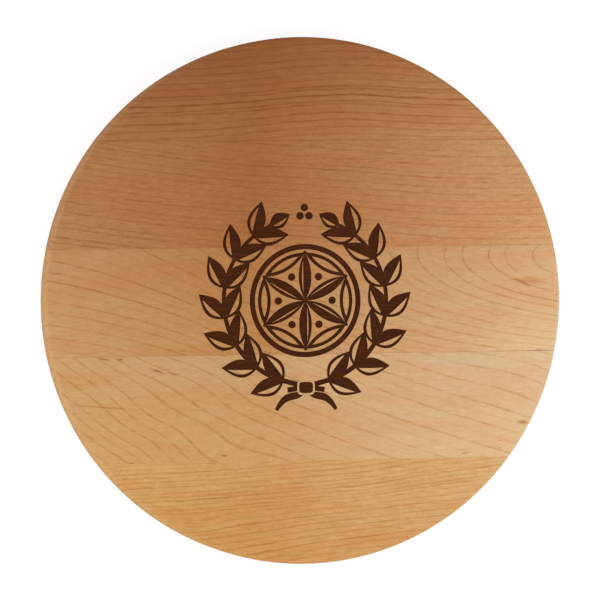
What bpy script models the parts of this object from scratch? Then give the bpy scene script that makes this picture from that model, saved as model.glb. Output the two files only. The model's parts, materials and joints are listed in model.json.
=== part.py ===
"""Round pizza board: five hard maple staves, edge-glued into a panel and cut to a disc.

Frame: metres, the board lies flat, +Z up. The origin is the centre of the underside.
The grain and the staves run along X. The staves are laid side by side along Y, from the
front (-Y) to the back (+Y), with a film of cured glue in each of the joints between them.

The board is made as the real one is: rough blanks stand side by side as a panel, and each
finished stave and film is what one turned disc, its rims rounded over, leaves of its blank.
"""

from math import radians

import bmesh
import bpy

# Driving dimensions of the finished board
BOARD_DIAMETER = 0.3556
BOARD_THICKNESS = 0.019
RIM_ROUNDOVER = 0.003

# Driving dimensions of the glued panel
STAVE_WIDTH = 0.0718
GLUE_FILM_THICKNESS = 0.0002

# How finely the round shapes are divided
DISC_SEGMENTS = 144
ROUNDOVER_SEGMENTS = 5
SHARP_EDGE_ANGLE = radians(30)

# Finishes of the pieces: sRGB hex colour and roughness
OILED_ROUGHNESS = 0.46
HONEY_MAPLE = ("#CE985F", OILED_ROUGHNESS)
CREAM_MAPLE = ("#CFA06C", OILED_ROUGHNESS)
SAND_MAPLE = ("#C5905F", OILED_ROUGHNESS)
AMBER_MAPLE = ("#AE764A", OILED_ROUGHNESS)
RUSSET_MAPLE = ("#A06A40", OILED_ROUGHNESS)
CURED_GLUE = ("#7E5230", 0.35)

# The staves and the glue films between them, each from the front to the back
STAVES = (
    ("front_edge_stave", HONEY_MAPLE),
    ("front_inner_stave", CREAM_MAPLE),
    ("centre_stave", SAND_MAPLE),
    ("back_inner_stave", AMBER_MAPLE),
    ("back_edge_stave", RUSSET_MAPLE),
)
GLUE_FILMS = (
    ("front_edge_glue_film", CURED_GLUE),
    ("front_inner_glue_film", CURED_GLUE),
    ("back_inner_glue_film", CURED_GLUE),
    ("back_edge_glue_film", CURED_GLUE),
)


def clear_scene():
    """Removes the objects that the scene starts with."""
    for obj in list(bpy.data.objects):
        bpy.data.objects.remove(obj, do_unlink=True)


def linear_colour(hex_colour):
    """The linear RGBA of an sRGB hex colour."""
    channels = [int(hex_colour[i : i + 2], 16) / 255 for i in (1, 3, 5)]
    linear = [c / 12.92 if c <= 0.04045 else ((c + 0.055) / 1.055) ** 2.4 for c in channels]
    return (*linear, 1.0)


def finish_material(name, finish):
    """A non-metallic material with the finish's colour and roughness."""
    hex_colour, roughness = finish
    material = bpy.data.materials.new(name)
    material.use_nodes = True
    shader = material.node_tree.nodes["Principled BSDF"]
    shader.inputs["Base Color"].default_value = linear_colour(hex_colour)
    shader.inputs["Roughness"].default_value = roughness
    shader.inputs["Metallic"].default_value = 0.0
    return material


def add_object(name, shape):
    """A new object at the origin, with the mesh that the bmesh holds."""
    mesh = bpy.data.meshes.new(name)
    shape.to_mesh(mesh)
    shape.free()
    obj = bpy.data.objects.new(name, mesh)
    bpy.context.scene.collection.objects.link(obj)
    return obj


def finished_disc():
    """The outer shape of the whole board, as a guide: a turned disc with both rims rounded over."""
    shape = bmesh.new()
    bmesh.ops.create_cone(
        shape,
        cap_ends=True,
        segments=DISC_SEGMENTS,
        radius1=BOARD_DIAMETER / 2,
        radius2=BOARD_DIAMETER / 2,
        depth=BOARD_THICKNESS,
    )
    bmesh.ops.translate(shape, verts=shape.verts, vec=(0, 0, BOARD_THICKNESS / 2))
    disc = add_object("finished_disc_guide", shape)
    roundover = disc.modifiers.new("rim roundover", "BEVEL")
    roundover.width = RIM_ROUNDOVER
    roundover.segments = ROUNDOVER_SEGMENTS
    roundover.limit_method = "ANGLE"
    roundover.angle_limit = SHARP_EDGE_ANGLE
    disc.hide_render = True
    disc.display_type = "WIRE"
    return disc


def rough_blank(name, y_front, y_back):
    """A rough-sawn strip between two planes across Y, which stands past the disc along X and Z."""
    shape = bmesh.new()
    bmesh.ops.create_cube(shape, size=1)
    for corner in shape.verts:
        x, y, z = corner.co
        corner.co.x = BOARD_DIAMETER if x > 0 else -BOARD_DIAMETER
        corner.co.y = y_back if y > 0 else y_front
        corner.co.z = 2 * BOARD_THICKNESS if z > 0 else -BOARD_THICKNESS
    return add_object(name, shape)


def cut_piece(name, finish, y_front, y_back, disc):
    """One stave or glue film: what the finished disc leaves of its rough blank."""
    piece = rough_blank(name, y_front, y_back)
    cut = piece.modifiers.new("cut to the disc", "BOOLEAN")
    cut.operation = "INTERSECT"
    cut.solver = "EXACT"
    cut.object = disc
    graph = bpy.context.evaluated_depsgraph_get()
    finished_mesh = bpy.data.meshes.new_from_object(piece.evaluated_get(graph))
    piece.modifiers.clear()
    piece.data = finished_mesh
    finished_mesh.name = name
    finished_mesh.materials.clear()
    finished_mesh.materials.append(finish_material(name, finish))
    finished_mesh.shade_smooth()
    finished_mesh.set_sharp_from_angle(angle=SHARP_EDGE_ANGLE)


def glue_film_faces():
    """The front and back face of each glue film along Y, from the front joint to the back one.

    The joints stand evenly about the board's centre, one stave and one film apart.
    """
    pitch = STAVE_WIDTH + GLUE_FILM_THICKNESS
    middles = [(i - (len(GLUE_FILMS) - 1) / 2) * pitch for i in range(len(GLUE_FILMS))]
    return [(y - GLUE_FILM_THICKNESS / 2, y + GLUE_FILM_THICKNESS / 2) for y in middles]


def stave_faces(film_faces):
    """The front and back face of each stave's blank along Y: what lies between the films.

    The two outermost blanks stand past the disc, so the saw sets their outer shape.
    """
    fronts = [-BOARD_DIAMETER] + [film_back for _, film_back in film_faces]
    backs = [film_front for film_front, _ in film_faces] + [BOARD_DIAMETER]
    return list(zip(fronts, backs))


def main():
    """Lays up the panel of staves and glue films, and cuts each of them to the disc."""
    clear_scene()
    disc = finished_disc()
    film_faces = glue_film_faces()
    for (name, finish), faces in zip(STAVES, stave_faces(film_faces)):
        cut_piece(name, finish, *faces, disc)
    for (name, finish), faces in zip(GLUE_FILMS, film_faces):
        cut_piece(name, finish, *faces, disc)


main()
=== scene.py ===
"""Looks of the round pizza board: edge-glued hard maple with a charred garland and rosette.

Metres, +Z up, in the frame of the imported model. The board lies flat on a pale studio floor
with its serving face up. The outlines of the engraving and the patterns of the wood are
worked out in millimetres.
"""

import json
import logging
from collections.abc import Iterable
from dataclasses import dataclass, field
from enum import Enum
from math import ceil, cos, pi, radians, sin

import bpy
import numpy as np
from bpy.types import Material, Node, NodeSocket, NodeTree, Object
from mathutils import Matrix, Vector
from mathutils.geometry import delaunay_2d_cdt


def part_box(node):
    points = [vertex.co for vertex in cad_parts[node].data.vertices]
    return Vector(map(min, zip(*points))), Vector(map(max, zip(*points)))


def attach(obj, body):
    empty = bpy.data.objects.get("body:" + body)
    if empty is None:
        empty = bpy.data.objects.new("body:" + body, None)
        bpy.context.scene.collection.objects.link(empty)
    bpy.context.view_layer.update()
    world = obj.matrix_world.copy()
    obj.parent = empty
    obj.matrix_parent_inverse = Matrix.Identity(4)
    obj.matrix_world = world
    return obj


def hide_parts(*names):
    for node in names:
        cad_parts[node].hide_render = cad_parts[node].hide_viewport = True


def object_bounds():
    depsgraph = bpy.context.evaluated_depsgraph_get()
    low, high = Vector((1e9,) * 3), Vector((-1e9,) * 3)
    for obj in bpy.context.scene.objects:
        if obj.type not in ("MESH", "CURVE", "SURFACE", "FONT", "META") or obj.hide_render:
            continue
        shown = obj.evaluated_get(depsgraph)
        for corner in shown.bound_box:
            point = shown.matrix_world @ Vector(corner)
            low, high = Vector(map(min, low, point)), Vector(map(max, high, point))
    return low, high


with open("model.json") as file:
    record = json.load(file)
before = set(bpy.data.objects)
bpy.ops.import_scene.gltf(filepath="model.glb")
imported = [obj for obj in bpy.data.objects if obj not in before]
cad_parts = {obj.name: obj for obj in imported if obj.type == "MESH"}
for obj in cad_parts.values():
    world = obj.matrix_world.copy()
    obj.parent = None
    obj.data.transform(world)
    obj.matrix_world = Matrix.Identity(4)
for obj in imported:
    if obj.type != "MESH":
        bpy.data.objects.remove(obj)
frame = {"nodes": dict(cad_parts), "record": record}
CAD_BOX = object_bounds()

LOG = logging.getLogger("pizza_board")
MM = 0.001
BODY = "root"

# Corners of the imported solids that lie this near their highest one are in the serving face
FACE_SLACK = 0.01 * MM

# How finely round shapes are divided
RIM_STEP = radians(0.5)
ROUNDOVER_ROWS = 10
CREASE_ANGLE = radians(30)

# Where along a stave its three wood colours lie, and where across it the tints of its edges
WOOD_STOPS = (0.0, 0.4, 1.0)
EDGE_STOPS = (0.0, 1.0)

WHITE = "#FFFFFF"

# What feeds a node's input: a value, a socket or a node
Feed = object
Pair = tuple[float, float]
Triple = tuple[float, float, float]
# Rows of a value and its reading
Chart = tuple[Pair, ...]


def linear(hex_colour: str) -> tuple[float, float, float, float]:
    """Turns an sRGB hex colour to linear RGBA.

    Args:
        hex_colour: The colour as "#RRGGBB".

    Returns:
        The linear red, green, blue and an alpha of 1.
    """
    channels = [int(hex_colour[i : i + 2], 16) / 255 for i in (1, 3, 5)]
    red, green, blue = (c / 12.92 if c <= 0.04045 else ((c + 0.055) / 1.055) ** 2.4 for c in channels)
    return red, green, blue, 1.0


def feed(node: Node, feeds: dict) -> Node:
    """Sets and links a node's inputs.

    Args:
        node: The node.
        feeds: For each input, by its name or number: a value to set, a socket to link, or a
            node, which stands for its first live output.

    Returns:
        The same node.
    """
    for name, source in feeds.items():
        socket = next(s for i, s in enumerate(node.inputs) if name == i or name == s.name and s.enabled)
        if isinstance(source, Node):
            source = next(s for s in source.outputs if s.enabled)
        if isinstance(source, NodeSocket):
            node.id_data.links.new(source, socket)
        else:
            socket.default_value = source
    return node


def add_node(tree: NodeTree, kind: str, feeds: dict | None = None, **settings) -> Node:
    """Adds a shader node with its settings, values and links.

    Args:
        tree: The node tree that gets the node.
        kind: The node's type, without the "ShaderNode" that all of them start with.
        feeds: What feeds its inputs, as for feed().
        settings: The node's own options.

    Returns:
        The new node.
    """
    node = tree.nodes.new("ShaderNode" + kind)
    for option, value in settings.items():
        setattr(node, option, value)
    return feed(node, feeds or {})


def fill_table(node: Node, rows: Iterable[tuple], handles: str = "AUTO") -> Node:
    """Fills in a node's table: the stops of its colour ramp, or the points of its curve.

    A curve runs on straight past its ends.

    Args:
        node: The node with the table.
        rows: Places and sRGB hex colours for a ramp, values and their readings for a curve.
        handles: AUTO for a smooth curve, VECTOR for straight lines from row to row.

    Returns:
        The same node.
    """
    first, *between, last = rows
    if hasattr(node, "color_ramp"):
        stops = node.color_ramp.elements
        for stop, (place, colour) in zip(stops, (first, last)):
            stop.position, stop.color = place, linear(colour)
        for place, colour in between:
            stops.new(place).color = linear(colour)
        return node
    node.mapping.use_clip = False
    node.mapping.extend = "EXTRAPOLATED"
    points = node.mapping.curves[0].points
    points[0].location, points[1].location = first, last
    for row in between:
        points.new(*row)
    for point in points:
        point.handle_type = handles
    node.mapping.update()
    return node


def corners_of(obj: Object) -> np.ndarray:
    """Reads the corners of an object's mesh.

    Args:
        obj: The object.

    Returns:
        Rows of X, Y and Z in metres.
    """
    flat = np.empty(3 * len(obj.data.vertices))
    obj.data.vertices.foreach_get("co", flat)
    return flat.reshape(-1, 3)


def mesh_object(name: str, points: np.ndarray, faces: list) -> Object:
    """Puts points and faces into a new object at the origin.

    Args:
        name: The object's name.
        points: The points in metres, one row each.
        faces: Lists of point numbers, counterclockwise seen from outside.

    Returns:
        The new object, in the scene.
    """
    mesh = bpy.data.meshes.new(name)
    mesh.from_pydata(points.reshape(-1, 3).tolist(), [], faces)
    mesh.update()
    obj = bpy.data.objects.new(name, mesh)
    bpy.context.scene.collection.objects.link(obj)
    return obj


def grid_faces(rows: int, columns: int, closed: bool) -> list[list[int]]:
    """Joins a grid of points, numbered row by row, with four-cornered faces.

    Each face runs from a point to the next one in its row, up to the next row and back.

    Args:
        rows: How many rows the grid has.
        columns: How many points a row has.
        closed: Whether a row's last point joins its first one.

    Returns:
        The faces.
    """
    last = columns if closed else columns - 1
    row, column = np.meshgrid(np.arange(rows - 1), np.arange(last), indexing="ij")
    point, beside = row * columns + column, row * columns + (column + 1) % columns
    return np.stack([point, beside, beside + columns, point + columns], axis=-1).reshape(-1, 4).tolist()


def apply_modifiers(obj: Object) -> None:
    """Makes what an object's modifiers give its own mesh, and removes them.

    Args:
        obj: The object to change.
    """
    graph = bpy.context.evaluated_depsgraph_get()
    finished = bpy.data.meshes.new_from_object(obj.evaluated_get(graph))
    obj.modifiers.clear()
    obj.data = finished
    finished.name = obj.name


def smooth_by_area(obj: Object) -> None:
    """Shades round rows smooth, with creases at true edges, and keeps flat faces flat.

    Args:
        obj: The object to shade. Its large faces set the normals of the rows they run into.
    """
    obj.data.shade_smooth()
    obj.data.set_sharp_from_angle(angle=CREASE_ANGLE)
    weighting = obj.modifiers.new("flat faces first", "WEIGHTED_NORMAL")
    weighting.keep_sharp = True
    apply_modifiers(obj)


@dataclass(frozen=True)
class BoardSize:
    """The turned disc's sizes in metres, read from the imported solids."""

    radius: float
    thickness: float
    roundover: float

    @classmethod
    def from_frame(cls) -> "BoardSize":
        """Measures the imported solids: their box, and how far in the flat serving face starts.

        Returns:
            The sizes.
        """
        low, high = CAD_BOX
        corners = np.concatenate([corners_of(node) for node in frame["nodes"].values()])
        serving_face = corners[corners[:, 2] > high[2] - FACE_SLACK]
        flat_radius = np.hypot(serving_face[:, 0], serving_face[:, 1]).max()
        return cls(radius=high[0], thickness=high[2] - low[2], roundover=high[0] - flat_radius)

    def rim_section(self) -> np.ndarray:
        """Works out the rim's section from the underside to the serving face.

        A quarter circle leads out of the underside, the straight side follows, and a second
        quarter circle leads into the serving face.

        Returns:
            Rows of radius and height.
        """
        turn = np.linspace(-pi / 2, 0, ROUNDOVER_ROWS + 1)
        out = self.radius - self.roundover * (1 - np.cos(turn))
        up = self.roundover * (1 + np.sin(turn))
        lower = np.stack([out, up], axis=-1)
        upper = np.stack([out[::-1], self.thickness - up[::-1]], axis=-1)
        return np.concatenate([lower, upper])


@dataclass(frozen=True)
class Figure:
    """A pattern of soft patches: a noise, and the band of its values that counts."""

    reach: Triple  # How far a patch reaches along X, Y and Z, in millimetres
    band: Pair = (0.0, 1.0)  # The values of the noise at the two ends of a share
    detail: float = 2.0  # How many finer layers the noise has
    shift: float = 1.0  # How many times the seed the noise is moved by

    def noise(self, tree: NodeTree, place: Node, seed: float = 0.0) -> Node:
        """Adds the noise at the place over the reach, moved along all three axes.

        Args:
            tree: The material's node tree.
            place: The place in millimetres.
            seed: Where in the noise the stave lies, in patches.

        Returns:
            The node with the noise.
        """
        patches = add_node(tree, "Mapping", {
            "Vector": place, "Location": (self.shift * seed,) * 3,
            "Scale": tuple(1 / length for length in self.reach),
        })
        return add_node(tree, "TexNoise", {"Vector": patches, "Scale": 1.0, "Detail": self.detail})

    def share(self, tree: NodeTree, noise: Node, first: float = 0.0, second: float = 1.0) -> Node:
        """Stretches the noise, so that its band runs from the first value to the second one.

        Args:
            tree: The material's node tree.
            noise: The node with the noise.
            first: The value where the band starts.
            second: The value where it ends.

        Returns:
            The node with the share.
        """
        return add_node(tree, "MapRange", {
            "Value": noise, "From Min": self.band[0], "From Max": self.band[1],
            "To Min": first, "To Max": second,
        })


@dataclass(frozen=True)
class Patch:
    """A soft-edged place where the wood differs, in millimetres."""

    at: Pair  # Its middle
    reach: Pair  # How far it reaches along its own X and Y
    tilt: float = field(default=0.0, kw_only=True)  # How many degrees it is turned from +X towards +Y
    # How far it reaches down, by default through any board
    depth: float = field(default=1e6, kw_only=True)

    def share(self, tree: NodeTree, place: Node, top: float = 0.0) -> Node:
        """Works out how strong it is: it fades from its middle to an ellipsoid round it.

        Args:
            tree: The material's node tree.
            place: The place in millimetres.
            top: The height of its middle.

        Returns:
            The node with the share, from 0 to 1.
        """
        offset = add_node(tree, "Mapping", {
            "Vector": place, "Location": (*self.at, top), "Rotation": (0.0, 0.0, radians(self.tilt)),
            "Scale": (*self.reach, self.depth),
        }, vector_type="TEXTURE")
        away = add_node(tree, "VectorMath", {0: offset}, operation="LENGTH")
        return add_node(tree, "MapRange", {
            "Value": away, "To Min": 1.0, "To Max": 0.0,
        }, interpolation_type="SMOOTHSTEP")


@dataclass(frozen=True)
class Swell(Patch):
    """A place where a knot nearby has pushed the grain aside."""

    lift: float  # How far the grain lies off its straight course at the middle, towards +Y


@dataclass(frozen=True)
class Streak(Patch):
    """A mineral streak: a short soft stain just under the serving face."""

    tint: str  # What it multiplies the wood by at its middle
    depth: float = field(default=1.5, kw_only=True)


@dataclass(frozen=True)
class Spot:
    """The point of a stave that its material shades, in millimetres."""

    tree: NodeTree
    place: Node
    bent: Node  # Its place in the straight tree
    normal: NodeSocket  # The surface's normal
    radius: float  # The board's radius
    top: float  # The height of the serving face
    joints: Pair  # The Y of the stave's front and back face


@dataclass(frozen=True)
class Growth:
    """How the tree's growth rings lie in one stave, in millimetres.

    The rings are round about the pith, the middle of the tree, and a thin line of latewood
    ends each of them.
    """

    track: Chart  # Rows of X and the pith's Y
    depths: Chart  # Rows of X and the pith's depth under the serving face
    rings: Chart  # Rows of a ring's radius and how bold its line is
    sway: Pair  # How far a slow sweep and a fine waver bend the grain
    seed: float  # Where in the noise the stave lies
    line: float = 1.0  # How wide a line is
    core: float = 0.1  # The share of this width that is at full strength
    # The radius's least growth on the surface, which keeps lines from widening
    least_growth: float = 0.25
    fading: Pair = (0.35, 1.5)  # How bold a line is at least and at most as it fades and comes back
    fibre: Triple = (8.0, 0.9, 0.9)  # How far a bundle of fibres reaches along each axis
    swells: tuple[Swell, ...] = ()  # Where knots have pushed the grain aside
    # The slow sweep and the fine waver
    bends: tuple[Figure, Figure] = (Figure((95, 22, 22), detail=3.0), Figure((10, 5, 5), detail=3.0))
    fades: Figure = Figure((18, 3, 3), (0.34, 0.66), shift=2)  # How the lines fade and come back

    def bent(self, tree: NodeTree, place: Node) -> Node:
        """Bends the wood across the board, by the swells' lifts and by up to each layer's sway.

        Args:
            tree: The material's node tree.
            place: The place in millimetres.

        Returns:
            The node with the place in the straight tree.
        """
        pushes = [(swell.share(tree, place), -swell.lift) for swell in self.swells]
        for bend, sway in zip(self.bends, self.sway):
            pushes.append((bend.noise(tree, place, self.seed), 2 * sway))
        push: Feed = -sum(self.sway)
        for share, most in pushes:
            push = add_node(tree, "Math", {0: share, 1: most, 2: push}, operation="MULTIPLY_ADD")
        aside = add_node(tree, "CombineXYZ", {"Y": push})
        return add_node(tree, "VectorMath", {0: place, 1: aside}, operation="ADD")

    def spoke(self, spot: Spot, ahead: float) -> Node:
        """Works out the spoke from the pith to a place, across the grain.

        Args:
            spot: The point that is shaded.
            ahead: How far along the grain the pith is looked up, in millimetres.

        Returns:
            The node with the spoke.
        """
        tree = spot.tree
        along, across, up = add_node(tree, "SeparateXYZ", {0: spot.bent}).outputs
        looked_up = add_node(tree, "Math", {0: along, 1: ahead}, operation="ADD")
        heights = [(x, spot.top - depth) for x, depth in self.depths]
        aside, above = (
            add_node(tree, "Math", {
                0: way, 1: fill_table(add_node(tree, "FloatCurve", {"Value": looked_up}), rows),
            }, operation="SUBTRACT")
            for way, rows in ((across, self.track), (up, heights))
        )
        return add_node(tree, "CombineXYZ", {"Y": aside, "Z": above})

    def radius(self, spot: Spot) -> tuple[Node, Node]:
        """Works out how far a place lies from the pith, and how fast that grows on the surface.

        The radius is the spoke's length. It grows along the spoke's own direction, and along
        the grain by the difference to the radius 1 mm further on. The surface shows the part
        of this growth that does not run along its normal.

        Args:
            spot: The point that is shaded.

        Returns:
            The node with the radius, and the one with its growth per millimetre.
        """
        tree, spoke = spot.tree, self.spoke(spot, 0.0)
        radius, further = (
            add_node(tree, "VectorMath", {0: each}, operation="LENGTH")
            for each in (spoke, self.spoke(spot, 1.0))
        )
        along = add_node(tree, "Math", {0: further, 1: radius}, operation="SUBTRACT")
        outwards = add_node(tree, "VectorMath", {0: spoke}, operation="NORMALIZE")
        growth = add_node(tree, "VectorMath", {
            0: outwards, 1: add_node(tree, "CombineXYZ", {"X": along}),
        }, operation="ADD")
        hidden = add_node(tree, "VectorMath", {0: growth, 1: spot.normal}, operation="PROJECT")
        shown = add_node(tree, "VectorMath", {0: growth, 1: hidden}, operation="SUBTRACT")
        steepness = add_node(tree, "VectorMath", {0: shown}, operation="LENGTH")
        return radius, add_node(tree, "Math", {0: steepness, 1: self.least_growth}, operation="MAXIMUM")

    def latewood(self, spot: Spot) -> Node:
        """Draws the lines: how near the next ring is, times how bold its line is.

        A chart counts the rings along the radius. How far the count is from a whole number,
        over the chart's slope across 1 mm, is how far the radius is from the nearest ring.
        Over the radius's growth on the surface, that is the distance to the ring's line there.

        Args:
            spot: The point that is shaded.

        Returns:
            The node with the strength of the line, from 0 to about 1.
        """
        tree = spot.tree
        radius, growth = self.radius(spot)
        counted = [(at, float(ring)) for ring, (at, _) in enumerate(self.rings)]
        count, outer, inner, boldness = (
            fill_table(add_node(tree, "FloatCurve", {
                "Value": add_node(tree, "Math", {0: radius, 1: step}, operation="ADD"),
            }), rows, "VECTOR")
            for step, rows in ((0.0, counted), (0.5, counted), (-0.5, counted), (0.0, self.rings))
        )
        slope = add_node(tree, "Math", {0: outer, 1: inner}, operation="SUBTRACT")
        away = add_node(tree, "Math", {0: count, 1: 0.5}, operation="PINGPONG")
        for divisor in (slope, growth):
            away = add_node(tree, "Math", {0: away, 1: divisor}, operation="DIVIDE")
        near = add_node(tree, "MapRange", {
            "Value": away, "From Min": self.core * self.line, "From Max": self.line,
            "To Min": 1.0, "To Max": 0.0,
        }, interpolation_type="SMOOTHSTEP")
        fade = self.fades.share(tree, self.fades.noise(tree, spot.bent, self.seed), *self.fading)
        bold = add_node(tree, "Math", {0: boldness, 1: fade}, operation="MULTIPLY")
        return add_node(tree, "Math", {0: near, 1: bold}, operation="MULTIPLY")


@dataclass(frozen=True, kw_only=True)
class Finish:
    """What each finish of the board and the studio sets."""

    name: str
    roughness: float
    ior: float  # Its index of refraction
    specular: float  # How strongly it mirrors: 0.5 is all that its index gives

    def begin(self) -> tuple[Material, NodeTree, Node]:
        """Makes the material, with the values that are the same all over it.

        Returns:
            The material, its node tree and its shader node.
        """
        material = bpy.data.materials.new(self.name)
        material.use_nodes = True
        shader = feed(material.node_tree.nodes["Principled BSDF"], {
            "Roughness": self.roughness, "IOR": self.ior, "Specular IOR Level": self.specular,
        })
        return material, material.node_tree, shader

    def place(self, tree: NodeTree) -> Node:
        """Gives the node with the place on the board in millimetres."""
        metres = add_node(tree, "TexCoord").outputs["Object"]
        return add_node(tree, "VectorMath", {0: metres, "Scale": 1 / MM}, operation="SCALE")


@dataclass(frozen=True, kw_only=True)
class OiledMaple(Finish):
    """Hard maple, planed, sanded fine and oiled.

    Maple is diffuse-porous: the eye sees a smooth pale wood with thin reddish latewood lines,
    faint fibres along the grain, a soft blush here and there, and a few short dark flecks. The
    oil leaves a satin sheen on the faces. Where the turned rim cuts across the grain, a pale
    colour is mixed in: a painted highlight where the rim's ends catch the light.
    """

    # The wood between the lines, at the left end, near the middle and at the right end: partly the wood's
    # own tone, partly painted light that makes both ends lighter, the right one most
    wood: tuple[str, str, str]
    # On the two edge staves the tint at the board's rim is painted shade; on the others it is a small tint
    # across the stave.
    edges: tuple[str, str]  # What the wood is multiplied by at the stave's front and back face
    late: str  # What the latewood lines multiply the wood by
    fleck: str
    growth: Growth  # How the rings lie
    streaks: tuple[Streak, ...] = ()
    # Painted highlight: the pale colour that the rim's ends, where they cut across the grain, are mixed
    # toward.
    end_grain_highlight: str = "#E6CB9C"  # What the rim turns to where it cuts across the grain
    end_grain_highlight_share: float = 0.1  # How far it does where it cuts straight across
    end_grain_highlight_from: float = 0.2  # How squarely it has to cut across for that to begin
    blush: str = "#FFF2EA"  # What the blushing patches multiply the wood by
    shade: str = "#F0EAE1"  # What the darkest fibres multiply the wood by
    fleckiness: float = 0.85  # How strong the flecks are
    glue_soak: float = 0.15  # How much darker the wood is right beside a glued joint
    soak_reach: float = 0.9  # How far from the joint that fades, in millimetres
    roughness: float = 0.46
    rim_roughness: float = 0.8  # How rough the rim is, which drinks the oil and stays matt
    level_from: float = 0.9  # How level a face has to be to have the full sheen
    unevenness: float = 0.05  # How far the fibres change the roughness
    relief: Pair = (0.4, 0.03)  # How strongly and how many millimetres the fibres and lines stand out
    ior: float = 1.47
    specular: float = 0.26
    blushes: Figure = Figure((80, 12, 12), (0.42, 0.68), shift=3)  # How the blush lies
    dashes: Figure = Figure((13, 1.6, 1.6), (0.75, 0.80), detail=1.0, shift=5)  # How the flecks lie
    # Where there are flecks at all
    fleck_areas: Figure = Figure((45, 25, 25), (0.46, 0.60), detail=0.0, shift=7)
    fibre_band: Pair = (0.3, 0.7)  # Which values of the fibres' noise change the roughness
    # Two fine mottles that darken the wood as its fibres do
    mottles: tuple[Figure, ...] = (Figure((5.5, 2.2, 2.2), detail=1.0), Figure((1.6, 1.3, 1.3), detail=1.0))
    shares: Pair = (0.5, 0.25)  # What the fibres and what each mottle add to that
    shade_band: Pair = (0.32, 0.68)  # Which sums of these are all shade and none

    def ground(self, spot: Spot) -> tuple[Node, Node]:
        """Works out the wood's colour along the stave, which is partly its own drift and partly painted
        light that is lighter towards both ends, and its tint across it, which on the two edge staves is
        painted shade along the board's rim.

        Args:
            spot: The point that is shaded.

        Returns:
            The node with the colour, and the node with the tint.
        """
        along, across, _ = add_node(spot.tree, "SeparateXYZ", {0: spot.place}).outputs
        ground, tint = (
            fill_table(add_node(spot.tree, "ValToRGB", {
                "Fac": add_node(spot.tree, "MapRange", {"Value": way, "From Min": start, "From Max": end}),
            }), zip(stops, colours))
            for way, start, end, stops, colours in (
                (along, -spot.radius, spot.radius, WOOD_STOPS, self.wood),
                (across, *spot.joints, EDGE_STOPS, self.edges),
            )
        )
        return ground, tint

    def colour(self, spot: Spot, line: Feed, darkness: Feed) -> Node:
        """Lays the wood's colours over each other: ground, blush, shade, latewood, flecks and so on.

        Args:
            spot: The point that is shaded.
            line: The strength of the latewood line.
            darkness: The share of the shade.

        Returns:
            The node with the colour.
        """
        tree = spot.tree
        blushing, fleck, areas = (
            figure.share(tree, figure.noise(tree, at, self.growth.seed), second=most)
            for figure, at, most in (
                (self.blushes, spot.bent, 1.0), (self.dashes, spot.bent, self.fleckiness),
                (self.fleck_areas, spot.place, 1.0),
            )
        )
        flecked = add_node(tree, "Math", {0: fleck, 1: areas}, operation="MULTIPLY")
        # Painted highlight: the rim's ends, where it cuts across the grain, are mixed a little toward a
        # pale colour.
        facing = add_node(tree, "SeparateXYZ", {0: spot.normal}).outputs["X"]
        end_grain_lit = add_node(tree, "MapRange", {
            "Value": add_node(tree, "Math", {0: facing}, operation="ABSOLUTE"),
            "From Min": self.end_grain_highlight_from, "To Max": self.end_grain_highlight_share,
        })
        colour, tint = self.ground(spot)
        layers = [
            # The edge tint is painted shade along the board's rim on the two edge staves.
            ("MULTIPLY", 1.0, tint),
            ("MULTIPLY", blushing, linear(self.blush)),
            ("MULTIPLY", darkness, linear(self.shade)),
            ("MULTIPLY", line, linear(self.late)),
            ("MIX", flecked, linear(self.fleck)),
        ]
        for streak in self.streaks:
            layers.append(("MULTIPLY", streak.share(tree, spot.place, spot.top), linear(streak.tint)))
        layers.append(("MIX", end_grain_lit, linear(self.end_grain_highlight)))
        for blend, share, layer in layers:
            colour = add_node(tree, "Mix", {
                "Factor": share, "A": colour, "B": layer,
            }, data_type="RGBA", blend_type=blend)
        return colour

    def darkness(self, spot: Spot, fibres: Node) -> Node:
        """Works out how dark the wood is: its fibres, two fine mottles and the glued joints.

        Args:
            spot: The point that is shaded.
            fibres: The noise of the fibres.

        Returns:
            The node with the share of the shade, about 0.5 on the whole.
        """
        tree = spot.tree
        light = add_node(tree, "Math", {0: fibres, 1: self.shares[0]}, operation="MULTIPLY")
        for mottle in self.mottles:
            noise = mottle.noise(tree, spot.bent, self.growth.seed)
            light = add_node(tree, "Math", {
                0: noise, 1: self.shares[1], 2: light,
            }, operation="MULTIPLY_ADD")
        dark = Figure(self.growth.fibre, self.shade_band).share(tree, light, 1.0, 0.0)
        across = add_node(tree, "SeparateXYZ", {0: spot.place}).outputs["Y"]
        for joint in spot.joints:
            # The outermost faces are no joints but the board's own edge
            if abs(joint) < spot.radius - 1:
                away = add_node(tree, "Math", {0: across, 1: -joint}, operation="ADD")
                soaked = add_node(tree, "MapRange", {
                    "Value": add_node(tree, "Math", {0: away}, operation="ABSOLUTE"),
                    "From Max": self.soak_reach, "To Min": self.glue_soak, "To Max": 0.0,
                }, interpolation_type="SMOOTHSTEP")
                dark = add_node(tree, "Math", {0: dark, 1: soaked}, operation="ADD")
        return dark

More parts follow.
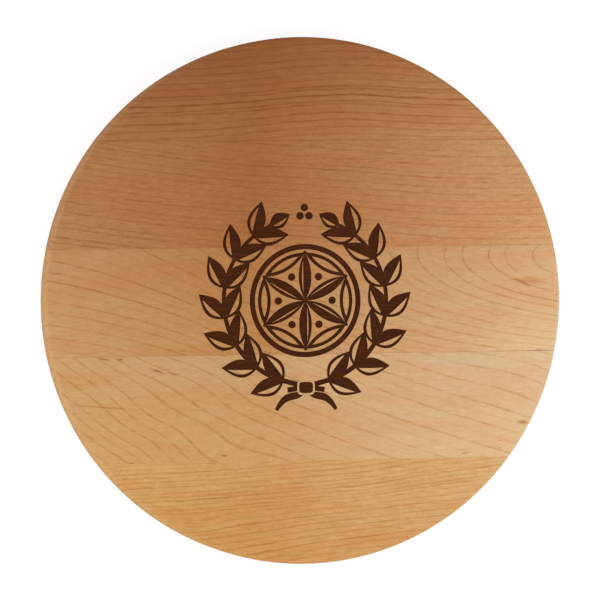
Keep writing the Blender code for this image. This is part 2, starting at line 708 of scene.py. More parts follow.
    def dress(self, size: BoardSize, joints: Pair) -> Material:
        """Builds the stave's wood material, on which the lines stand out twice as much as the fibres.

        Args:
            size: The board's sizes.
            joints: The Y of the stave's front and back face, in metres.

        Returns:
            The material.
        """
        material, tree, shader = self.begin()
        place = self.place(tree)
        spot = Spot(
            tree, place, self.growth.bent(tree, place), add_node(tree, "TexCoord").outputs["Normal"],
            radius=size.radius / MM, top=size.thickness / MM, joints=(joints[0] / MM, joints[1] / MM),
        )
        grain = Figure(self.growth.fibre, self.fibre_band)
        fibres = grain.noise(tree, spot.bent, self.growth.seed)
        line = self.growth.latewood(spot)
        smooth, dull = self.roughness - self.unevenness, self.roughness + self.unevenness
        level = add_node(tree, "SeparateXYZ", {0: spot.normal}).outputs["Z"]
        rough = add_node(tree, "MapRange", {
            "Value": add_node(tree, "Math", {0: level}, operation="ABSOLUTE"), "From Max": self.level_from,
            "To Min": self.rim_roughness, "To Max": grain.share(tree, fibres, smooth, dull),
        })
        height = add_node(tree, "Math", {0: fibres, 1: 0.5, 2: line}, operation="MULTIPLY_ADD")
        bump = add_node(tree, "Bump", {
            "Height": height, "Strength": self.relief[0], "Distance": self.relief[1] * MM,
        })
        colour = self.colour(spot, line, self.darkness(spot, fibres))
        feed(shader, {"Base Color": colour, "Roughness": rough, "Normal": bump})
        return material


@dataclass(frozen=True, kw_only=True)
class TwoToneFinish(Finish):
    """A finish of a dark and a light tone that lie in soft patches."""

    dark: str
    light: str
    patches: Figure  # How the two lie
    relief: Pair = (0.0, 0.0)  # How strongly, and over how many millimetres, the light patches stand out

    def dress(self) -> Material:
        """Builds the material: the noise of the patches mixes the two tones.

        Returns:
            The material.
        """
        material, tree, shader = self.begin()
        noise = self.patches.noise(tree, self.place(tree))
        feed(shader, {"Base Color": add_node(tree, "Mix", {
            "Factor": self.patches.share(tree, noise), "A": linear(self.dark), "B": linear(self.light),
        }, data_type="RGBA")})
        strength, distance = self.relief
        if strength:
            feed(shader, {"Normal": add_node(tree, "Bump", {
                "Height": noise, "Strength": strength, "Distance": distance * MM,
            })})
        return material


@dataclass(frozen=True, kw_only=True)
class CharredMaple(TwoToneFinish):
    """Maple that a laser has charred half a millimetre deep.

    The eye sees a matt dark brown, a little lighter along the fibres, where the heat went in less.
    """

    name: str = "laser_charred_maple"
    dark: str = "#371501"
    light: str = "#512607"
    patches: Figure = Figure((8, 0.9, 0.9), (0.3, 0.75), detail=3.0)
    relief: Pair = (0.5, 0.1)
    roughness: float = 0.85
    ior: float = 1.45
    specular: float = 0.15


@dataclass(frozen=True, kw_only=True)
class CuredGlue(TwoToneFinish):
    """Cured yellow wood glue, pressed to a film and oiled over: a thin brown line to the eye.

    It is dark where the film is thickest, and light where the staves almost touch and their
    wood shows through.
    """

    patches: Figure = Figure((18, 18, 18))
    roughness: float = 0.4
    ior: float = 1.5
    specular: float = 0.3


class Ink(Enum):
    """What the laser does inside an outline."""

    BURNT = True
    BARE = False


@dataclass(frozen=True)
class Shape:
    """A closed outline in the plan, in millimetres, and what the laser does inside it."""

    outline: np.ndarray
    ink: Ink = Ink.BURNT

    def placed(self, at: Pair | np.ndarray, turn: float) -> "Shape":
        """Turns the shape by an angle about the origin and moves it."""
        spin = np.array([[cos(turn), sin(turn)], [-sin(turn), cos(turn)]])
        return Shape(self.outline @ spin + np.array(at), self.ink)

    def mirrored(self) -> "Shape":
        """Mirrors the shape left to right and keeps its points counterclockwise."""
        return Shape(self.outline[::-1] * np.array([-1.0, 1.0]), self.ink)

    def flipped(self) -> "Shape":
        """Mirrors the shape top to bottom and keeps its points counterclockwise."""
        return Shape(self.outline[::-1] * np.array([1.0, -1.0]), self.ink)


def polar(reach: float | np.ndarray, angle: float | np.ndarray) -> np.ndarray:
    """Gives the place that lies so far from the origin, turned by the angle from +X towards +Y."""
    return np.stack([reach * np.cos(angle), reach * np.sin(angle)], axis=-1)


def unit_circle(points: int) -> np.ndarray:
    """Gives points at even angles on the circle with a radius of 1."""
    return polar(1.0, np.arange(points) * 2 * pi / points)


def disc(centre: Pair | np.ndarray, radius: float, points: int = 16, ink: Ink = Ink.BURNT) -> Shape:
    """Makes a round shape about a centre."""
    return Shape(np.array(centre) + radius * unit_circle(points), ink)


def between(lower: np.ndarray, upper: np.ndarray, ink: Ink = Ink.BURNT) -> Shape:
    """Makes the shape between two lines from left to right that share both their ends."""
    return Shape(np.concatenate([lower, upper[-2:0:-1]]), ink)


def stroke(path: np.ndarray, half_widths: np.ndarray) -> Shape:
    """Makes a brush stroke: a centreline widened on both sides along its own normal.

    Args:
        path: The centreline's points.
        half_widths: Half the stroke's width at each point.

    Returns:
        The shape.
    """
    ahead = np.gradient(path, axis=0)
    ahead /= np.linalg.norm(ahead, axis=1, keepdims=True)
    aside = np.stack([-ahead[:, 1], ahead[:, 0]], axis=-1) * half_widths[:, None]
    return Shape(np.concatenate([path - aside, (path + aside)[::-1]]))


@dataclass(frozen=True)
class Leaf:
    """A pointed leaf from the origin along +X: one half charred, the other an open outline."""

    length: float
    width: float
    bend: float = -1.6  # How far its tip bends aside, towards +Y
    edge: float = 2.2  # How wide the line along the open half is
    rib: float = 2.1  # How wide the line between the halves is
    fullness: float = 0.85  # The power of the way along it: below 1, it is widest nearer the foot
    field_start: float = 0.13  # Where the bare field starts, as a share of the length
    field_run: float = 0.70  # How long it is, as a share of the length
    points: int = 17  # How many points a side has

    def shapes(self) -> list[Shape]:
        """Works out the leaf: its half width is the sine of the way along it, fuller at the foot.

        Returns:
            The charred leaf, and the bare field in its upper half.
        """
        way = np.linspace(0, 1, self.points)
        swell = np.sin(pi * way**self.fullness)
        middle = self.bend * way**2
        half = self.width / 2 * swell
        inset = self.field_start + self.field_run * way
        foot = self.bend * inset**2 + self.rib / 2
        crown = foot + (self.width / 2 - self.edge - self.rib / 2) * swell
        right, left, low, high = (
            np.stack([self.length * along, aside], axis=-1)
            for along, aside in ((way, middle - half), (way, middle + half), (inset, foot), (inset, crown))
        )
        return [between(right, left), between(low, high, Ink.BARE)]


@dataclass(frozen=True)
class Branch:
    """One leafy branch of the garland, which climbs the right side from the foot to the crown."""

    radius: float = 56.0  # The radius of the circle that its stem follows
    foot: float = radians(-102)  # The angle at which the stem starts, from +X towards +Y
    crown: float = radians(67)  # The angle at which it ends
    spread: float = 5.5  # How far it swings out of the circle at the foot
    thick: float = 1.8  # Half its width at the foot
    thin: float = 1.2  # Half its width at the crown
    leaf: Leaf = Leaf(length=24.5, width=12.4)
    tip_leaf: Leaf = Leaf(length=16.0, width=10.4, bend=-0.4)
    tuck: float = 2.2  # How far the tip leaf covers the stem's end
    tip_turn: float = radians(5)  # How far the tip leaf is turned outwards
    lean: float = radians(40)  # How far the leaves of a pair lean away from the stem
    first_pair: float = radians(-74)  # The angle of the first pair
    pair_step: float = radians(20.8)  # The angle from a pair to the next one
    pairs: int = 7
    points: int = 90  # How many points the stem's centreline has

    def stem_point(self, angle: float | np.ndarray) -> np.ndarray:
        """Gives the stem's place at an angle: a circle that swings out below the first pair."""
        past = np.clip((self.first_pair - angle) / (self.first_pair - self.foot), 0, None)
        return polar(self.radius + self.spread * past**2, angle)

    def shapes(self) -> list[Shape]:
        """Builds the stem, its leaf pairs and the leaf at its tip.

        Returns:
            The shapes, in the order in which the laser draws them.
        """
        run = np.linspace(self.foot, self.crown, self.points)
        shapes = [stroke(self.stem_point(run), np.linspace(self.thick, self.thin, run.size))]
        for pair in range(self.pairs):
            angle = self.first_pair + pair * self.pair_step
            at = self.stem_point(angle)
            for shape in self.leaf.shapes():
                shapes.append(shape.placed(at, angle + pi / 2 + self.lean))
                shapes.append(shape.flipped().placed(at, angle + pi / 2 - self.lean))
        top = self.stem_point(self.crown - self.tuck / self.radius)
        turn = self.crown + pi / 2 - self.tip_turn
        return [*shapes, *(shape.placed(top, turn) for shape in self.tip_leaf.shapes())]


@dataclass(frozen=True)
class Tie:
    """The band that binds the two branches where they cross at the foot, with its two tails."""

    at: Pair = (0.0, -58.6)  # The band's middle
    band: Pair = (4.8, 3.8)  # Half its length and half its height
    squareness: float = 0.5  # The power of the cosine and the sine that give its outline
    gap: float = 1.3  # How wide the ground round it is cleared
    tail_start: Pair = (2.6, -3.5)  # Where the right tail starts, from the band's middle
    tail_run: Pair = (18.0, -11.5)  # How far it runs along X and Y
    tail_curl: float = 6.0  # How far it curls up on its way
    tail_width: Pair = (0.9, 1.6)  # Half its least width, and what a sine adds to it
    tail_swell: Pair = (0.15, 0.8)  # Where in its half turn that sine starts, and how far it runs
    points: int = 28
    tail_points: int = 14

    def shapes(self) -> list[Shape]:
        """Builds a tail on each side, the cleared ground, and the band as a rounded block.

        Returns:
            The shapes, in the order in which the laser draws them.
        """
        corner = unit_circle(self.points)
        block = np.sign(corner) * np.abs(corner) ** self.squareness
        way = np.linspace(0, 1, self.tail_points)
        tail = np.array(self.at) + np.array(self.tail_start) + np.outer(way, self.tail_run)
        tail[:, 1] += self.tail_curl * np.sin(pi * way) * way
        (least, wider), (start, run) = self.tail_width, self.tail_swell
        right = stroke(tail, least + wider * np.sin(pi * (start + run * way)))
        ground = Shape(np.array(self.at) + block * (np.array(self.band) + self.gap), Ink.BARE)
        return [right, right.mirrored(), ground, Shape(np.array(self.at) + block * np.array(self.band))]


@dataclass(frozen=True)
class Rosette:
    """The six-petalled rosette that a pair of compasses draws, in a ring.

    A bead lies wherever petals meet, so that no two bare fields touch at a mere point.
    """

    radius: float = 32.5  # How long a petal is, and the radius of its arcs
    edge: float = 2.3  # How wide the line along a petal is
    rib: float = 2.4  # How wide the line down its middle is
    ring: Pair = (34.6, 38.2)  # The ring's inner and outer radius
    ring_points: int = 120
    # Where a scallop's bare field starts and ends, as shares of the radius
    scallop_field: Pair = (0.17, 0.83)
    petal_field: Pair = (0.15, 0.85)  # Where the bare half of a petal does
    arc_points: int = 21
    seed_dot: float = 2.6  # The radius of the dots between the petals
    dot_reach: float = 0.57  # How far out they lie, as a share of the radius
    bead: float = 1.2  # The radius of the beads
    bead_points: int = 15

    def petal(self, half: float, ends: Pair, ink: Ink = Ink.BURNT, floor: float | None = None) -> Shape:
        """Works out a petal along +X between two arcs whose centres lie a radius away.

        Each round side is a circle's arc through both ends.

        Args:
            half: The petal's half width at its middle.
            ends: Where it starts and ends, as shares of the radius.
            ink: What the laser does inside it.
            floor: The Y of its straight lower side, or None for a petal with two round sides.

        Returns:
            The petal.
        """
        low, high = ends
        length = self.radius * (high - low)
        arc = (length**2 / 4 + half**2) / (2 * half)
        along = np.linspace(-length / 2, length / 2, self.arc_points)
        bulge = np.sqrt(arc**2 - along**2) - (arc - half)
        upper = np.stack([self.radius * (low + high) / 2 + along, bulge + (floor or 0)], axis=-1)
        return between(upper * np.array([1, -1]) if floor is None else upper[[0, -1]], upper, ink)

    def shapes(self) -> list[Shape]:
        """Builds the ring, the scallops between the petals' tips, the petals, dots and beads.

        Returns:
            The shapes, in the order in which the laser draws them.
        """
        inner, outer = self.ring
        shapes = [disc((0, 0), outer, self.ring_points), disc((0, 0), inner, self.ring_points, Ink.BARE)]
        full = self.radius * (1 - cos(pi / 6))
        petal = self.petal(full, (0, 1))
        scallop_field = self.petal(full - self.edge, self.scallop_field, Ink.BARE)
        half_field = self.petal(full - self.edge - self.rib / 2, self.petal_field, Ink.BARE, self.rib / 2)
        turns = [pi / 2 + number * pi / 3 for number in range(6)]
        for turn in turns:
            tip = polar(self.radius, turn)
            shapes += [shape.placed(tip, turn + 2 * pi / 3) for shape in (petal, scallop_field)]
        for turn in turns:
            shapes += [shape.placed((0, 0), turn) for shape in (petal, half_field)]
            shapes.append(disc(polar(self.dot_reach * self.radius, turn + pi / 6), self.seed_dot))
            shapes.append(disc(polar(self.radius, turn), self.bead, self.bead_points))
        return [*shapes, disc((0, 0), self.bead, self.bead_points)]


@dataclass(frozen=True)
class Engraving:
    """The generic ornament that the laser chars into the middle of the serving face."""

    depth: float = 0.5
    clearance: float = 1.0  # How far the block that cuts it stands out of the board
    branch: Branch = Branch()
    tie: Tie = Tie()
    rosette: Rosette = Rosette()
    berry: float = 2.6  # The radius of the berries at the garland's crown
    # Where they lie, from the garland's circle
    berries: tuple[Pair, ...] = ((-3.1, 1.2), (3.1, 1.2), (0.0, 6.8))
    decimals: int = 3  # To how many decimals the plan's points are rounded
    merging: float = 1e-5  # How near two points may be before they are taken for one

    def shapes(self) -> list[Shape]:
        """Lists all shapes in drawing order, each over the ones before it.

        Returns:
            The shapes.
        """
        right = self.branch.shapes()
        left = [shape.mirrored() for shape in right]
        berries = [disc((x, self.branch.radius + y), self.berry) for x, y in self.berries]
        return [*self.rosette.shapes(), *left, *right, *self.tie.shapes(), *berries]

    def burnt_plan(self) -> tuple[np.ndarray, np.ndarray]:
        """Merges the shapes: a place is burnt if the last shape that covers it is.

        The points are rounded, so that corners which should meet do, with no flat triangle between.

        Returns:
            The plan's points in millimetres, and its burnt triangles, counterclockwise.
        """
        shapes = self.shapes()
        starts = np.cumsum([0] + [len(shape.outline) for shape in shapes])
        loops = [list(range(a, b)) for a, b in zip(starts[:-1], starts[1:])]
        corners = [Vector(point) for shape in shapes for point in shape.outline.round(self.decimals)]
        points, _, triangles, _, _, covers = delaunay_2d_cdt(corners, [], loops, 1, self.merging, True)
        burnt = [
            list(triangle) for triangle, cover in zip(triangles, covers)
            if cover and shapes[max(cover)].ink is Ink.BURNT
        ]
        return np.array(points), np.array(burnt)

    def cutter(self, serving_height: float) -> Object:
        """Makes the closed block that the burnt plan sweeps from the engraving's floor upwards.

        Its walls stand on the edges that only one burnt triangle has.

        Args:
            serving_height: The Z of the serving face, in metres.

        Returns:
            The block, whose faces all have material number 1.
        """
        points, burnt = self.burnt_plan()
        edges = np.concatenate([burnt[:, [0, 1]], burnt[:, [1, 2]], burnt[:, [2, 0]]])
        count = len(points)
        forward = edges[:, 0] * count + edges[:, 1]
        backward = edges[:, 1] * count + edges[:, 0]
        rim = edges[~np.isin(forward, backward)]
        low, high = serving_height - self.depth * MM, serving_height + self.clearance * MM
        layers = [np.column_stack([points * MM, np.full(count, z)]) for z in (low, high)]
        walls = np.column_stack([rim[:, 0], rim[:, 1], rim[:, 1] + count, rim[:, 0] + count])
        faces = [*burnt[:, ::-1].tolist(), *(burnt + count).tolist(), *walls.tolist()]
        block = mesh_object("engraving_cutter", np.concatenate(layers), faces)
        for _ in range(2):
            block.data.materials.append(None)
        block.data.polygons.foreach_set("material_index", np.ones(len(faces), np.int32))
        return block


@dataclass
class PanelStrip:
    """What stands between two planes across the panel: a stave or the glue film of a joint."""

    node: str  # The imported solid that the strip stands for
    slot: str  # The record's material slot
    size: BoardSize
    prefix: str = "finished"
    piece: Object = field(init=False)  # The strip's object, once it is built

    def faces_across(self) -> Pair:
        """Gives the Y of the strip's front and back face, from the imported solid."""
        low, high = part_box(self.node)
        return low.y, high.y

    def surface(self) -> tuple[np.ndarray, list]:
        """Carries the rim's section along the strip's plan outline.

        The two parameters are the row of the section and the angle round the board. A row's
        angles run up the right end and down the left one, each evenly between the planes, so
        a point is the row's radius turned by the angle, at the row's height. The rows close
        round, and a flat cap closes each end of them.

        Returns:
            The points and the faces.
        """
        section = self.size.rim_section()
        front, back = self.faces_across()
        radius = section[:, :1]
        start = np.arcsin(np.clip(front / radius, -1, 1))
        end = np.arcsin(np.clip(back / radius, -1, 1))
        count = max(2, ceil(float((end - start).max()) / RIM_STEP) + 1)
        right = start + (end - start) * np.linspace(0, 1, count)
        left = (pi - right)[:, ::-1]
        # An outermost face is the board's own edge, where both sides meet in one point
        if back > self.size.radius - MM:
            left = left[:, 1:]
        if front < MM - self.size.radius:
            left = left[:, :-1]
        angle = np.concatenate([right, left], axis=1)
        height = np.broadcast_to(section[:, 1:], angle.shape)
        across = np.clip(radius * np.sin(angle), front, back)
        points = np.stack([radius * np.cos(angle), across, height], axis=-1)
        rows, columns = angle.shape
        underside = list(range(columns))[::-1]
        serving_face = list(range((rows - 1) * columns, rows * columns))
        return points, [*grid_faces(rows, columns, closed=True), underside, serving_face]

    def build(self, materials: list[Material]) -> None:
        """Makes the strip's mesh and gives it its materials.

        Args:
            materials: The strip's own finish and that of the engraving.
        """
        self.piece = mesh_object(f"{self.prefix}_{self.node}", *self.surface())
        for material in materials:
            self.piece.data.materials.append(material)

    def engrave(self, block: Object) -> None:
        """Cuts the engraving out of the strip, where it reaches it.

        Args:
            block: The closed block that has the engraving's shape.
        """
        cut = self.piece.modifiers.new("laser engraving", "BOOLEAN")
        cut.operation = "DIFFERENCE"
        cut.solver = "EXACT"
        cut.material_mode = "INDEX"
        cut.object = block
        apply_modifiers(self.piece)

    def finish(self) -> None:
        """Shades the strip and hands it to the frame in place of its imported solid."""
        smooth_by_area(self.piece)
        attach(self.piece, BODY)
        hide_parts(self.node)
        LOG.info("%s: %d faces", self.piece.name, len(self.piece.data.polygons))


@dataclass
class EdgeGluedPanel:
    """The board: five staves and the four glue films that hold them, with the engraving."""

    size: BoardSize
    woods: dict[str, OiledMaple]
    films: dict[str, CuredGlue]
    engraving: Engraving = Engraving()
    charred: CharredMaple = CharredMaple()

    def build(self) -> None:
        """Builds, engraves and finishes every strip of the panel."""
        slots = {part["node"]: part["material_slot"] for part in frame["record"]["subparts"]}
        char = self.charred.dress()
        block = self.engraving.cutter(self.size.thickness)
        reach = np.abs(corners_of(block)[:, 1]).max()
        for node, slot in slots.items():
            strip = PanelStrip(node, slot, self.size)
            front, back = strip.faces_across()
            wood = self.woods.get(node)
            outer = wood.dress(self.size, (front, back)) if wood else self.films[node].dress()
            strip.build([outer, char])
            if front < reach and back > -reach:
                strip.engrave(block)
            strip.finish()
        bpy.data.objects.remove(block, do_unlink=True)


@dataclass(frozen=True)
class Softbox:
    """A square studio lamp that faces the board."""

    name: str
    azimuth: float  # Its direction from the board's middle, turned from +X towards +Y
    elevation: float  # Its height over the floor as an angle
    # How bright a white face turned up at the board's middle gets from it, as a share of white
    level: float
    distance: float = 0.8  # How far it stands, in metres
    side: float = 0.6  # The length of its side, in metres

    def build(self) -> None:
        """Makes the lamp: its power follows from the level by the inverse square law."""
        lamp = bpy.data.lights.new(self.name, "AREA")
        lamp.shape = "SQUARE"
        lamp.size = self.side
        lamp.energy = self.level * pi**2 * self.distance**2 / sin(self.elevation)
        away = Vector((*polar(cos(self.elevation), self.azimuth), sin(self.elevation)))
        obj = bpy.data.objects.new(self.name, lamp)
        obj.location = away * self.distance
        obj.rotation_euler = away.to_track_quat("Z", "Y").to_euler()
        obj.visible_camera = False
        bpy.context.scene.collection.objects.link(obj)


@dataclass(frozen=True)
class StudioCamera:
    """The photograph's view: from far off, a little to the left of the board's middle."""

    distance: float = 3.2  # How far it stands, in metres
    to_left: float = radians(12.06)  # How far it stands aside from straight above, as an angle
    to_back: float = radians(0.84)
    roll: float = radians(-0.54)
    aim: Triple = (0.00044, 0.00018, 0.0)  # What it points at, in metres
    pixels_per_mm: float = 1.4743
    picture_width: int = 600
    sensor: float = 36.0  # The width of its sensor, in millimetres

    def build(self) -> None:
        """Makes the camera: its back axis points from the board to it, and +Y runs up the picture.

        The roll then turns its right axis towards its up axis.
        """
        aside, ahead = -sin(self.to_left) * cos(self.to_back), sin(self.to_back)
        back = Vector((aside, ahead, cos(self.to_left) * cos(self.to_back)))
        level = Vector((0, 1, 0)).cross(back).normalized()
        right = level * cos(self.roll) + back.cross(level) * sin(self.roll)
        lens = bpy.data.cameras.new("studio_camera")
        lens.sensor_width = self.sensor
        lens.lens = self.pixels_per_mm * self.distance / MM * self.sensor / self.picture_width
        obj = bpy.data.objects.new("studio_camera", lens)
        place = Matrix((right, back.cross(right), back)).transposed().to_4x4()
        place.translation = Vector(self.aim) + back * self.distance
        obj.matrix_world = place
        bpy.context.scene.collection.objects.link(obj)
        bpy.context.scene.camera = obj


@dataclass(frozen=True, kw_only=True)
class FloorPaint(Finish):
    """Matt white paint: no sheen, and as white as the camera can see."""

    name: str = "matt_white_floor"
    roughness: float = 1.0
    ior: float = 1.5
    specular: float = 0.0
    tone: str = "#DEDEDC"  # What it sends back of the light on it, to the board and its surroundings
    glow: float = 0.84  # What it shows the camera of its own, as a share of white
    shown: float = 0.22  # What it shows of the light that falls on it, with the board's shadow

    def dress(self) -> Material:
        """Builds the material, which the camera sees otherwise than the board does.

        Returns:
            The material.
        """
        material, tree, shader = self.begin()
        seen = add_node(tree, "LightPath").outputs["Is Camera Ray"]
        feed(shader, {
            "Base Color": add_node(tree, "Mix", {
                "Factor": seen, "A": linear(self.tone), "B": (*[self.shown] * 3, 1.0),
            }, data_type="RGBA"),
            "Emission Color": linear(WHITE),
            "Emission Strength": add_node(tree, "MapRange", {"Value": seen, "To Max": self.glow}),
        })
        return material


@dataclass(frozen=True)
class Studio:
    """A white floor under soft light from all sides, and the camera."""

    floor_side: float = 6.0  # The length of the floor's side, in metres
    floor_rows: int = 13  # How many rows of points it has each way
    floor_gap: float = 0.02 * MM  # How far it lies under the board, so that no two faces coincide
    paint: FloorPaint = FloorPaint()
    ambient: float = 0.5  # How bright the surroundings light the board, as a share of white
    lamps: tuple[Softbox, ...] = (
        Softbox("right_softbox", radians(0), radians(36), 0.22),
        Softbox("front_softbox", radians(258), radians(26), 0.13),
        Softbox("left_softbox", radians(180), radians(30), 0.10),
        Softbox("back_softbox", radians(140), radians(25), 0.09),
    )
    camera: StudioCamera = StudioCamera()

    def build_floor(self) -> None:
        """Makes the floor: a level grid of evenly spaced points."""
        side = np.linspace(-self.floor_side / 2, self.floor_side / 2, self.floor_rows)
        x, y = np.meshgrid(side, side)
        points = np.stack([x, y, np.full_like(x, -self.floor_gap)], axis=-1)
        floor = mesh_object("studio_floor", points, grid_faces(side.size, side.size, closed=False))
        floor.data.materials.append(self.paint.dress())

    def build_world(self) -> None:
        """Makes the surrounding light: white where it is seen or mirrored, softer as light."""
        world = bpy.data.worlds.new("studio_world")
        world.use_nodes = True
        tree = world.node_tree
        rays = add_node(tree, "LightPath").outputs
        seen = rays["Is Camera Ray"]
        for ray in ("Is Glossy Ray", "Is Transmission Ray"):
            seen = add_node(tree, "Math", {0: seen, 1: rays[ray]}, operation="MAXIMUM")
        feed(tree.nodes["Background"], {
            "Color": linear(WHITE),
            "Strength": add_node(tree, "MapRange", {"Value": seen, "To Min": self.ambient, "To Max": 1.0}),
        })
        bpy.context.scene.world = world

    def build(self) -> None:
        """Builds the floor, the world, the lamps and the camera."""
        self.build_floor()
        self.build_world()
        for lamp in self.lamps:
            lamp.build()
        self.camera.build()
        bpy.context.scene.view_settings.view_transform = "Standard"


# Scratch programs worked out the pith's lines, the swells, the rings' radii, the wood colours and the
# edge tints from the photograph. The rest was chosen from measures and enlarged views of it.
# Each stave's three wood colours are partly its own tone and partly painted light, lighter towards both
# ends and most at the right one.
WOODS = {
    "back_edge_stave": OiledMaple(
        # Its tint at the back face is painted shade along the board's back rim.
        name="oiled_maple_russet", wood=("#B17C4E", "#AA7240", "#D6A16E"), edges=("#FFFFFF", "#E0D0C1"),
        late="#D9C287", fleck="#693617", shade="#E5D9C3",
        growth=Growth(
            track=(
                (-178, 6.7), (-120, 9), (-80, 10.3), (-40, 12.7), (0, 16.4), (40, 17.3), (80, 15),
                (178, 13),
            ),
            depths=((-178, 25), (178, 25)),
            rings=(
                (95, 0.3), (98.5, 0.3), (103, 0.4), (107.5, 0.55), (112, 0.75), (117.8, 0.45), (120, 0.6),
                (124, 1.0), (128, 0.55), (130, 0.65), (134.5, 0.35), (138.5, 0.45), (143.5, 0.45),
                (148, 0.45), (153, 0.4), (158, 0.45), (163, 0.4), (168, 0.5),
            ),
            sway=(1.0, 0.8), seed=3.0, line=1.1, fading=(0.55, 1.35), fibre=(14, 0.8, 0.8),
        ),
    ),
    "back_inner_stave": OiledMaple(
        name="oiled_maple_amber", wood=("#C08E5C", "#B1743E", "#E0AE7B"), edges=("#FFFFFF", "#F4F3F1"),
        late="#DFC9AC", fleck="#7A4420", shade="#E3D6C4",
        growth=Growth(
            track=(
                (-178, 34.5), (-120, 26), (-80, 21), (-40, 17), (0, 14.3), (40, 11.5), (80, 9), (120, 8),
                (178, 9),
            ),
            depths=((-178, 5), (40, 5), (80, 12), (120, 15), (178, 16)),
            rings=(
                (8.5, 0.6), (12, 0.75), (18.5, 0.5), (22, 0.45), (29, 0.6), (32.5, 0.2), (36, 0.5),
                (40.5, 0.2), (43, 0.5), (47, 0.3), (51.5, 0.4), (55.5, 0.35), (60, 0.35), (64, 0.45),
                (68.5, 0.45), (72, 0.2), (75, 0.6), (78, 0.35), (83.5, 0.35), (89.5, 0.45), (93.5, 0.35),
                (97.5, 0.3),
            ),
            sway=(1.0, 0.7), seed=7.0,
        ),
    ),
    "centre_stave": OiledMaple(
        name="oiled_maple_sand", wood=("#D3A874", "#C49057", "#ECCA9B"), edges=("#FFFFFF", "#F0E4DC"),
        late="#E6D1B3", fleck="#9A5429", shade="#EBE3D7",
        growth=Growth(
            track=(
                (-178, 86.5), (-120, 80), (-80, 74.3), (-40, 62.4), (0, 50), (40, 38.8), (80, 31),
                (120, 30), (178, 28),
            ),
            depths=(
                (-178, 77), (-120, 69.5), (-80, 59), (-40, 49), (0, 49), (40, 47), (80, 41), (120, 29),
                (178, 10),
            ),
            rings=(
                (16.5, 0.7), (23, 0.4), (26.5, 0.75), (32.5, 0.75), (36.5, 0.55), (41.5, 0.65), (45, 0.4),
                (47.5, 0.3), (53, 0.5), (57.5, 0.6), (62.5, 0.6), (68, 0.6), (73, 0.45), (76, 0.2),
                (80.5, 0.7), (85.5, 0.3), (90.5, 0.3), (95.5, 0.8), (100.5, 0.25), (104.5, 0.75),
                (109, 0.2), (114, 0.55), (119.5, 0.45), (126, 0.5), (133, 0.55), (136, 0.2),
                (139.5, 0.45), (145, 0.4), (151, 0.4),
            ),
            sway=(0.9, 0.6), seed=11.0,
        ),
        streaks=(
            Streak((157.5, 11.8), (14.5, 4.4), "#F4DBC8", tilt=-4),
            Streak((151.4, 10.6), (8.6, 1.7), "#E2C2A6", tilt=-31),
            Streak((162.3, -35.9), (13.5, 0.9), "#AC9074"),
            Streak((-169.8, 19.8), (6.5, 0.9), "#DCC0AC", tilt=-1),
        ),
    ),
    "front_inner_stave": OiledMaple(
        name="oiled_maple_cream", wood=("#D7A971", "#D5A772", "#EBCBA0"), edges=("#FFFFF8", "#F9FBFF"),
        late="#E8D8C2", fleck="#A4602F", shade="#EEE7DD",
        growth=Growth(
            track=((-178, 163), (-120, 122), (-60, 87.7), (0, 60), (60, 37.2), (120, 17.7), (178, 0.4)),
            depths=((-178, 10), (178, 10)),
            rings=(
                (45, 0.5), (56.7, 0.6), (67, 0.7), (77.8, 0.6), (88.7, 0.7), (95, 0.2), (101.8, 0.7),
                (109, 0.2), (117, 0.8), (124.5, 0.25), (133, 0.6), (145, 0.7), (156, 0.6), (166, 0.7),
                (173.7, 0.6), (185, 0.7), (193.6, 0.5), (203, 0.7), (214.7, 0.6), (222.8, 0.5),
                (230.7, 0.6), (240, 0.6), (250, 0.6), (260, 0.6),
            ),
            sway=(0.8, 0.6), seed=15.0,
            swells=(
                Swell((-70, -108), (55, 30), -12.4), Swell((-110, -80), (55, 30), -5.1),
                Swell((-70, -50), (55, 30), 6.0), Swell((150, -50), (55, 30), 4.9),
            ),
        ),
        streaks=(
            Streak((-101.9, -46.0), (7.6, 1.2), "#CE9C80", tilt=-22),
            Streak((-91.8, -47.9), (6.0, 0.9), "#E0C4AC", tilt=-21),
            Streak((-138.0, -37.5), (7.4, 1.0), "#CCAC88", tilt=-10),
            Streak((-126.8, -37.9), (3.0, 1.1), "#C8A482", tilt=-4),
            Streak((150.9, -84.6), (6.2, 1.8), "#D6A67E", tilt=-7),
            Streak((-138.2, -69.8), (28.4, 0.9), "#E4CCBA", tilt=-5),
            Streak((-56.9, -103.6), (3.8, 1.0), "#C8A68E", tilt=-5),
            Streak((-119.7, -107.7), (2.2, 1.1), "#B0987A", tilt=-4),
        ),
    ),
    "front_edge_stave": OiledMaple(
        # Its tint at the front face is painted shade along the board's front rim.
        name="oiled_maple_honey", wood=("#E1B678", "#DAAC72", "#EAC593"), edges=("#F9ECD7", "#FFFFFF"),
        late="#E7D5B3", fleck="#93562A", shade="#E4D6BD",
        growth=Growth(
            track=(
                (-178, -40), (-120, -36), (-80, -35), (-40, -32.6), (0, -30), (40, -27.4), (80, -21.7),
                (120, -17),
            ),
            depths=((-178, 20), (178, 20)),
            rings=(
                (73, 0.4), (76.3, 0.4), (79, 0.3), (81.8, 0.65), (84.5, 0.4), (87.5, 0.6), (91, 0.65),
                (95, 0.5), (97.8, 0.4), (100, 0.85), (103, 0.4), (106, 0.6), (108, 0.55), (110.8, 0.4),
                (115, 0.4), (119.3, 0.8), (122.5, 0.3), (125.7, 0.65), (130.5, 0.6), (135, 0.6),
                (140.8, 0.9), (145.3, 0.6),
            ),
            sway=(0.8, 0.6), seed=21.0, fading=(0.6, 1.3), fibre=(18, 0.8, 0.8),
            swells=(Swell((44, -173), (110, 50), 8.1), Swell((-75, -150), (31, 14), -3.0)),
        ),
    ),
}

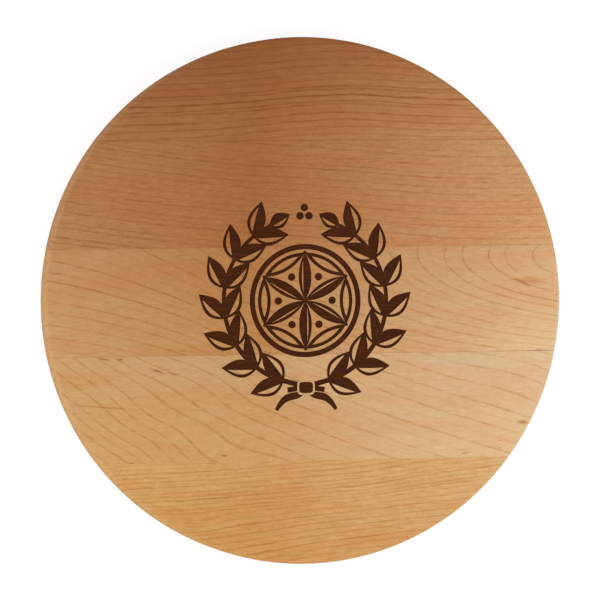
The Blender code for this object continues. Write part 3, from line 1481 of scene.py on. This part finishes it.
FILMS = {
    "back_edge_glue_film": CuredGlue(name="cured_glue_russet", dark="#6E3C1C", light="#8C5428"),
    "back_inner_glue_film": CuredGlue(name="cured_glue_amber", dark="#9E6534", light="#C08648"),
    "front_inner_glue_film": CuredGlue(name="cured_glue_sand", dark="#9E6534", light="#C08648"),
    "front_edge_glue_film": CuredGlue(name="cured_glue_honey", dark="#CC985C", light="#E0B27A"),
}


def main() -> None:
    """Builds the studio and the board."""
    logging.basicConfig(level=logging.INFO, format="%(name)s %(message)s")
    Studio().build()
    EdgeGluedPanel(BoardSize.from_frame(), WOODS, FILMS).build()


if __name__ == "__main__":
    main()
